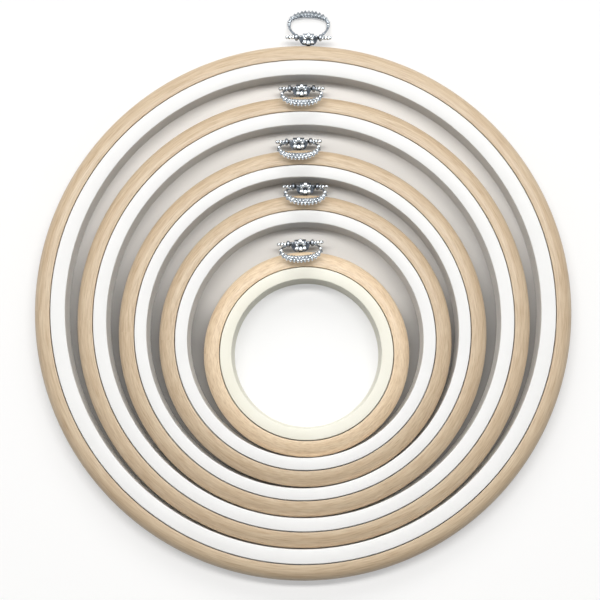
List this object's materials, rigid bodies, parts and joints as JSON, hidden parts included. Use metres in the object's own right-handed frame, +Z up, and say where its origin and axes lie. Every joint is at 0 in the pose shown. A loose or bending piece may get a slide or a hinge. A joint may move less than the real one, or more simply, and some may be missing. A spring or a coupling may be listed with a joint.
{
  "type": "nested set of round embroidery hoops",
  "caption": "Graded round embroidery hoops lying nested in one another: rigid inner rings, wood-effect vinyl outer rings and small cast hangers with hinged bails.",
  "frame": {"origin": "middle of the set's footprint, on the surface that it lies on", "axes": "+Z up from that surface, out of the hoops' fronts; +Y in the plane of the hoops, towards the hangers"},
  "size_m": [0.195, 0.2094, 0.0144],
  "materials": {
    "white_plastic": "satin",
    "ivory_plastic": "satin",
    "vinyl": "satin, printed with a fine pale wood grain",
    "cast_metal": "bright cast, darker in its recesses"
  },
  "bodies": {
    "inner_1": {"inner_ring_1": "white_plastic"},
    "outer_1": {"outer_ring_1": "vinyl", "hanger_base_1": "cast_metal", "hinge_bar_1": "cast_metal", "fixing_screw_1": "cast_metal"},
    "bail_1": {"bail_1": "cast_metal"},
    "inner_2": {"inner_ring_2": "white_plastic"},
    "outer_2": {"outer_ring_2": "vinyl", "hanger_base_2": "cast_metal", "hinge_bar_2": "cast_metal", "fixing_screw_2": "cast_metal"},
    "bail_2": {"bail_2": "cast_metal"},
    "inner_3": {"inner_ring_3": "white_plastic"},
    "outer_3": {"outer_ring_3": "vinyl", "hanger_base_3": "cast_metal", "hinge_bar_3": "cast_metal", "fixing_screw_3": "cast_metal"},
    "bail_3": {"bail_3": "cast_metal"},
    "inner_4": {"inner_ring_4": "white_plastic"},
    "outer_4": {"outer_ring_4": "vinyl", "hanger_base_4": "cast_metal", "hinge_bar_4": "cast_metal", "fixing_screw_4": "cast_metal"},
    "bail_4": {"bail_4": "cast_metal"},
    "inner_5": {"inner_ring_5": "ivory_plastic"},
    "outer_5": {"outer_ring_5": "vinyl", "hanger_base_5": "cast_metal", "hinge_bar_5": "cast_metal", "fixing_screw_5": "cast_metal"},
    "bail_5": {"bail_5": "cast_metal"}
  },
  "joints": [
    {"name": "lift_out_2", "type": "slide", "parent": "inner_1", "child": "inner_2", "axis": [0, 0, 1], "range_m": [0, 0.025]},
    {"name": "lift_out_3", "type": "slide", "parent": "inner_2", "child": "inner_3", "axis": [0, 0, 1], "range_m": [0, 0.025]},
    {"name": "lift_out_4", "type": "slide", "parent": "inner_3", "child": "inner_4", "axis": [0, 0, 1], "range_m": [0, 0.025]},
    {"name": "lift_out_5", "type": "slide", "parent": "inner_4", "child": "inner_5", "axis": [0, 0, 1], "range_m": [0, 0.025]},
    {"name": "unsnap_1", "type": "slide", "parent": "inner_1", "child": "outer_1", "axis": [0, 0, 1], "range_m": [0, 0.015]},
    {"name": "unsnap_2", "type": "slide", "parent": "inner_2", "child": "outer_2", "axis": [0, 0, 1], "range_m": [0, 0.015]},
    {"name": "unsnap_3", "type": "slide", "parent": "inner_3", "child": "outer_3", "axis": [0, 0, 1], "range_m": [0, 0.015]},
    {"name": "unsnap_4", "type": "slide", "parent": "inner_4", "child": "outer_4", "axis": [0, 0, 1], "range_m": [0, 0.015]},
    {"name": "unsnap_5", "type": "slide", "parent": "inner_5", "child": "outer_5", "axis": [0, 0, 1], "range_m": [0, 0.015]},
    {"name": "bail_hinge_1", "type": "hinge", "parent": "outer_1", "child": "bail_1", "pos_m": [0.00193, 0.09359, 0.00535], "axis": [0.9998, -0.0192, 0], "range_deg": [0, 176]},
    {"name": "bail_hinge_2", "type": "hinge", "parent": "outer_2", "child": "bail_2", "pos_m": [-0.00056, 0.07469, 0.00535], "axis": [-1, -0.0087, 0], "range_deg": [-22, 62]},
    {"name": "bail_hinge_3", "type": "hinge", "parent": "outer_3", "child": "bail_3", "pos_m": [-0.00164, 0.05507, 0.00535], "axis": [-0.9998, -0.0209, 0], "range_deg": [-22, 68]},
    {"name": "bail_hinge_4", "type": "hinge", "parent": "outer_4", "child": "bail_4", "pos_m": [0.00081, 0.03852, 0.00535], "axis": [-1, 0, 0], "range_deg": [-22, 53]},
    {"name": "bail_hinge_5", "type": "hinge", "parent": "outer_5", "child": "bail_5", "pos_m": [-0.00102, 0.01765, 0.00535], "axis": [-0.9984, -0.0558, 0], "range_deg": [-22, 74]}
  ]
}
